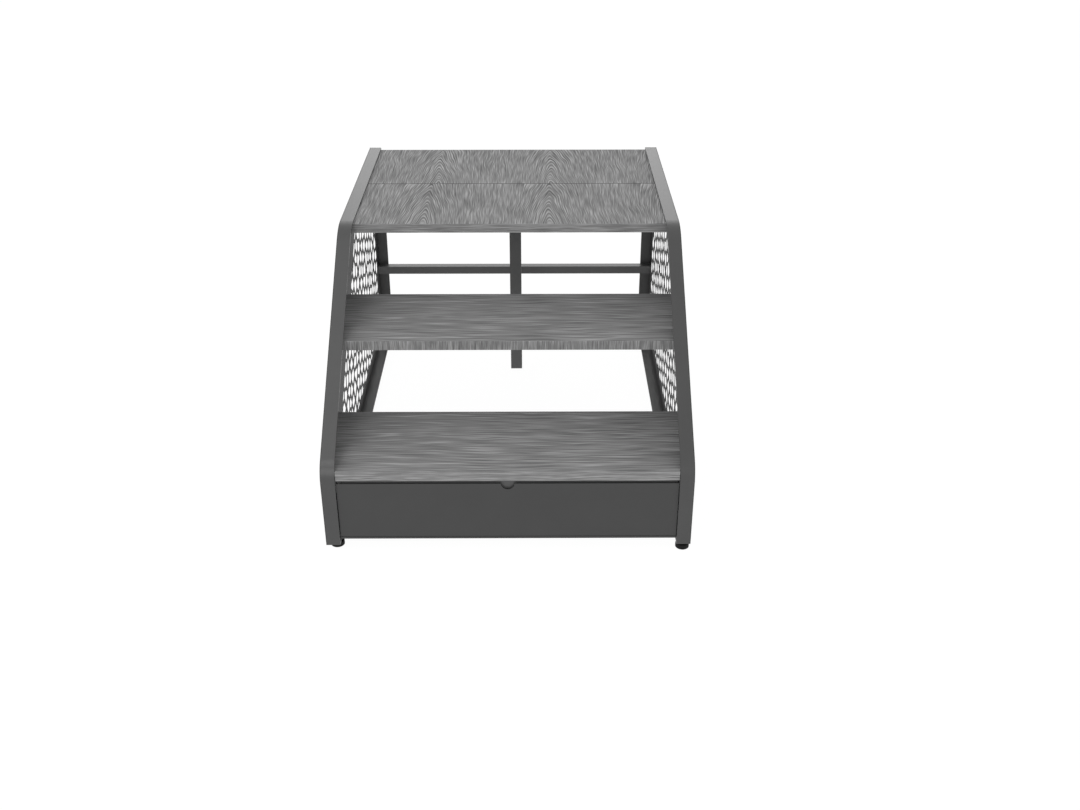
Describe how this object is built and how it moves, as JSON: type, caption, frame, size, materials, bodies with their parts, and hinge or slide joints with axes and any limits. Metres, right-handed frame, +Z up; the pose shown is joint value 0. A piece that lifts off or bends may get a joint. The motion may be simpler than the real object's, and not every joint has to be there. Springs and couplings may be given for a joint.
{
  "type": "spa steps",
  "caption": "Spa steps: wood-grain treads and a deep landing between bent steel side frames with screened sides, a drawer under the lowest tread, and levelling feet.",
  "frame": {"origin": "middle of the footprint, on the floor", "axes": "+Z up, -Y towards the person who climbs, +Y towards the spa, +X to that person's right"},
  "size_m": [0.9, 1.263, 0.646],
  "materials": {
    "grey_coat": "matt powder coat",
    "graphite_coat": "matt powder coat",
    "grey_oak_board": "grey oak grain, satin",
    "black_nylon": "moulded, fine grain",
    "grey_plastic": "moulded",
    "black_zinc": "black zinc plate",
    "zinc_steel": "bright zinc plate",
    "galvanised_steel": "rolled galvanised strip"
  },
  "bodies": {
    "frame": {"bottom_band_left": "grey_coat", "bottom_band_right": "grey_coat", "centre_post": "grey_coat", "front_band_left": "grey_coat", "front_band_right": "grey_coat", "landing_angle_left": "grey_coat", "landing_angle_right": "grey_coat", "landing_bearer": "grey_coat", "landing_board_front": "grey_oak_board", "landing_board_rear": "grey_oak_board", "landing_screws": "zinc_steel", "lower_angle_left": "grey_coat", "lower_angle_right": "grey_coat", "lower_bearer": "grey_coat", "lower_tread": "grey_oak_board", "lower_tread_screws": "zinc_steel", "middle_angle_left": "grey_coat", "middle_angle_right": "grey_coat", "middle_bearer": "grey_coat", "middle_tread": "grey_oak_board", "middle_tread_screws": "zinc_steel", "post_cap": "grey_plastic", "rear_band_left": "grey_coat", "rear_band_right": "grey_coat", "rear_bar": "grey_coat", "runner_brackets_left": "galvanised_steel", "runner_brackets_right": "galvanised_steel", "runner_left": "galvanised_steel", "runner_right": "galvanised_steel", "side_sheet_left": "grey_coat", "side_sheet_right": "grey_coat", "weld_nuts": "black_zinc"},
    "drawer": {"drawer_box_back": "graphite_coat", "drawer_box_front": "graphite_coat", "drawer_floor": "graphite_coat", "drawer_front": "graphite_coat", "drawer_side_left": "graphite_coat", "drawer_side_right": "graphite_coat", "front_screws": "zinc_steel", "front_spacers": "galvanised_steel", "slide_rail_left": "galvanised_steel", "slide_rail_right": "galvanised_steel"},
    "foot_front_left": {"foot_pad_front_left": "black_nylon"},
    "stem_front_left": {"foot_stem_front_left": "black_zinc"},
    "foot_rear_left": {"foot_pad_rear_left": "black_nylon"},
    "stem_rear_left": {"foot_stem_rear_left": "black_zinc"},
    "foot_front_right": {"foot_pad_front_right": "black_nylon"},
    "stem_front_right": {"foot_stem_front_right": "black_zinc"},
    "foot_rear_right": {"foot_pad_rear_right": "black_nylon"},
    "stem_rear_right": {"foot_stem_rear_right": "black_zinc"}
  },
  "joints": [
    {"name": "drawer_slide", "type": "slide", "parent": "frame", "child": "drawer", "axis": [0, -1, 0], "range_m": [0, 0.19]},
    {"name": "level_front_left", "type": "slide", "parent": "frame", "child": "foot_front_left", "axis": [0, 0, -1], "range_m": [0, 0.012]},
    {"name": "turn_front_left", "type": "hinge", "parent": "foot_front_left", "child": "stem_front_left", "pos_m": [-0.427, -0.5995, 0.017], "axis": [0, 0, -1], "range_deg": [0, 2881]},
    {"name": "level_rear_left", "type": "slide", "parent": "frame", "child": "foot_rear_left", "axis": [0, 0, -1], "range_m": [0, 0.012]},
    {"name": "turn_rear_left", "type": "hinge", "parent": "foot_rear_left", "child": "stem_rear_left", "pos_m": [-0.427, 0.5995, 0.017], "axis": [0, 0, -1], "range_deg": [0, 2881]},
    {"name": "level_front_right", "type": "slide", "parent": "frame", "child": "foot_front_right", "axis": [0, 0, -1], "range_m": [0, 0.012]},
    {"name": "turn_front_right", "type": "hinge", "parent": "foot_front_right", "child": "stem_front_right", "pos_m": [0.4317, -0.6143, 0.017], "axis": [0, 0, -1], "range_deg": [0, 2881]},
    {"name": "level_rear_right", "type": "slide", "parent": "frame", "child": "foot_rear_right", "axis": [0, 0, -1], "range_m": [0, 0.012]},
    {"name": "turn_rear_right", "type": "hinge", "parent": "foot_rear_right", "child": "stem_rear_right", "pos_m": [0.4317, 0.6143, 0.017], "axis": [0, 0, -1], "range_deg": [0, 2881]}
  ],
  "couplings": [
    {"joint": "turn_front_left", "follows": "level_front_left", "rad_per_m": 4188.8},
    {"joint": "turn_rear_left", "follows": "level_rear_left", "rad_per_m": 4188.8},
    {"joint": "turn_front_right", "follows": "level_front_right", "rad_per_m": 4188.8},
    {"joint": "turn_rear_right", "follows": "level_rear_right", "rad_per_m": 4188.8}
  ]
}
